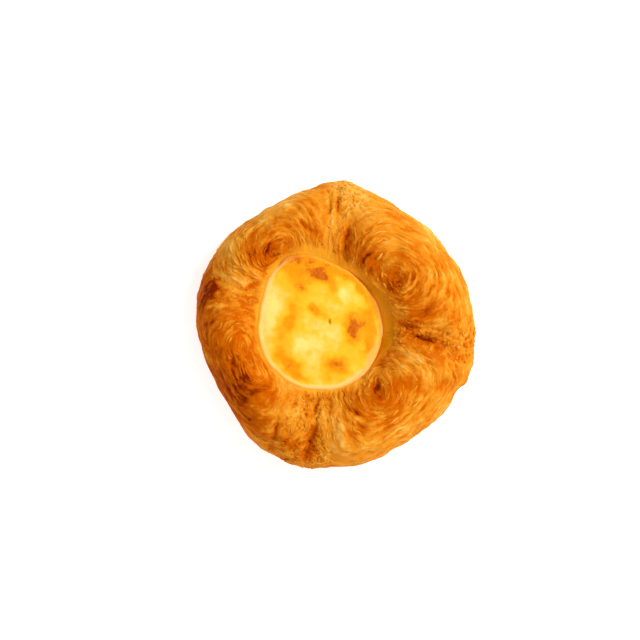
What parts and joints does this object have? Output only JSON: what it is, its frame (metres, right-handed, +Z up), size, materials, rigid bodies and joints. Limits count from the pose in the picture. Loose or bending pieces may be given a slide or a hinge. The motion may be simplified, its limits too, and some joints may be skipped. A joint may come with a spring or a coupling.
{
  "type": "custard danish pastry",
  "caption": "Round baked pastry of laminated dough, its edges rolled in as swirled folds round a well filled with browned custard.",
  "frame": {"origin": "middle of the pastry's footprint, on the surface that it stands on", "axes": "+Z up out of the custard, +X towards the crevice between custard and dough, +Y towards the narrow pinched corner beside the custard's far end"},
  "size_m": [0.1022, 0.106, 0.0314],
  "materials": {
    "baked_crust": "golden-brown laminated crust, thinly glazed, darker on the ridges",
    "baked_custard": "pale to deep yellow baked custard with browned blisters, softly glossy"
  },
  "bodies": {
    "root": {"dough": "baked_crust", "custard": "baked_custard"}
  },
  "joints": []
}
